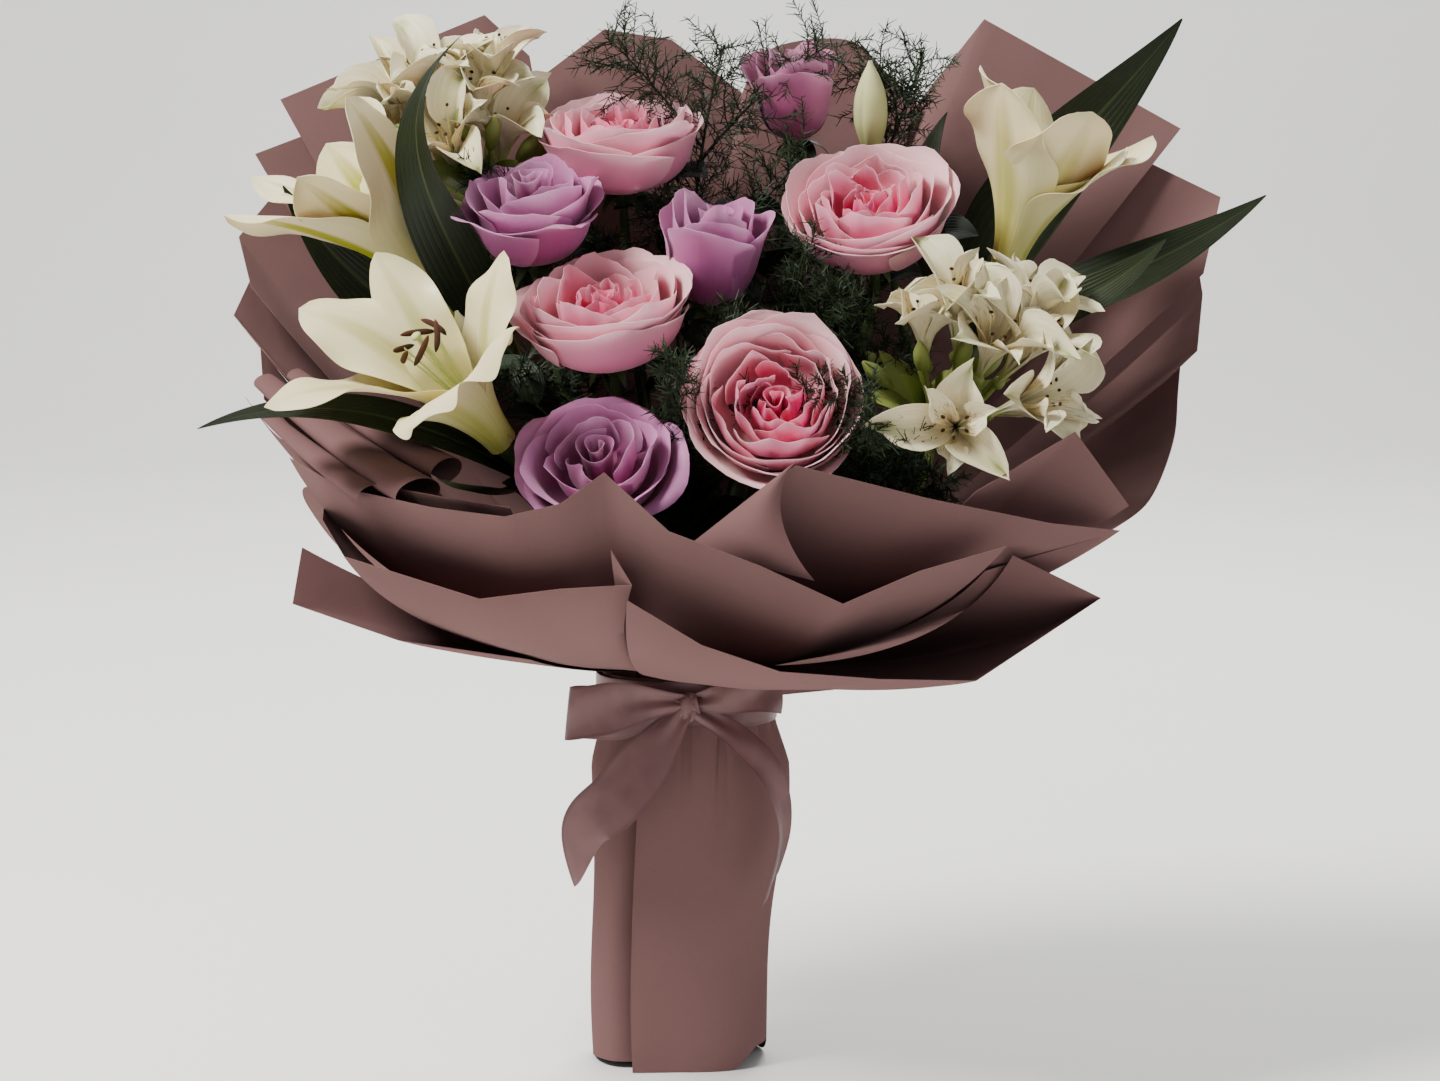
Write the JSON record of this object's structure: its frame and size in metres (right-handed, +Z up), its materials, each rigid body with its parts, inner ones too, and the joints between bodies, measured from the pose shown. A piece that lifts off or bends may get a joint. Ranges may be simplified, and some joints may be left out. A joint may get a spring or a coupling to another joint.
{
  "type": "lily bouquet",
  "caption": "Hand-tied bouquet of lilies, roses, alstroemeria and fern in pleated paper, tied with a ribbon, standing on its wrapped stems.",
  "frame": {"origin": "middle of the cut stem ends, on the surface that the bouquet stands on", "axes": "+Z up along the stems, -Y towards the front, +X to the right as seen from the front"},
  "size_m": [0.4907, 0.2725, 0.5001],
  "materials": {
    "pink_petal": "soft matt petals, pale pink",
    "lilac_petal": "soft matt petals, lilac",
    "lily_petal": "smooth waxy petals, cream white",
    "alstroemeria_petal": "smooth petals, cream white with fine streaks",
    "anther": "powdery dark brown",
    "bud": "smooth, pale yellow green",
    "stem": "smooth green plant stem",
    "leaf": "smooth dark green leaf with parallel veins",
    "fern": "fine dark green needles",
    "paper": "matt dusty rose wrapping paper",
    "ribbon": "satin, dusty rose",
    "twine": "natural twine"
  },
  "bodies": {
    "root": {"alstroemeria_left": "alstroemeria_petal", "alstroemeria_left_stem": "stem", "alstroemeria_right": "alstroemeria_petal", "alstroemeria_right_stem": "stem", "fern_front": "fern", "fern_front_right": "fern", "fern_left": "fern", "fern_right": "fern", "fern_top": "fern", "fern_top_right": "fern", "lily_bud_left": "bud", "lily_bud_right": "bud", "lily_left_back": "lily_petal", "lily_left_back_stamens": "anther", "lily_left_back_stem": "leaf", "lily_left_front": "lily_petal", "lily_left_front_stamens": "anther", "lily_left_front_stem": "leaf", "lily_right": "lily_petal", "lily_right_stamens": "anther", "lily_right_stem": "leaf", "paper_back_left": "paper", "paper_back_right": "paper", "paper_collar_flap": "paper", "paper_collar_left": "paper", "paper_collar_peak": "paper", "paper_collar_roll": "paper", "paper_collar_trough": "paper", "paper_fan_left": "paper", "paper_fan_right": "paper", "paper_handle_wrap": "paper", "paper_side_left": "paper", "paper_side_left_high": "paper", "paper_side_left_low": "paper", "paper_side_right": "paper", "paper_side_right_high": "paper", "paper_side_right_low": "paper", "paper_wing_left": "paper", "paper_wing_right": "paper", "ribbon": "ribbon", "rose_lilac_front": "lilac_petal", "rose_lilac_front_stem": "stem", "rose_lilac_left": "lilac_petal", "rose_lilac_left_stem": "stem", "rose_lilac_middle": "lilac_petal", "rose_lilac_middle_stem": "stem", "rose_lilac_top": "lilac_petal", "rose_lilac_top_stem": "stem", "rose_pink_front": "pink_petal", "rose_pink_front_stem": "stem", "rose_pink_left": "pink_petal", "rose_pink_left_stem": "stem", "rose_pink_right": "pink_petal", "rose_pink_right_stem": "stem", "rose_pink_top": "pink_petal", "rose_pink_top_stem": "stem", "stem_tie": "twine"}
  },
  "joints": []
}
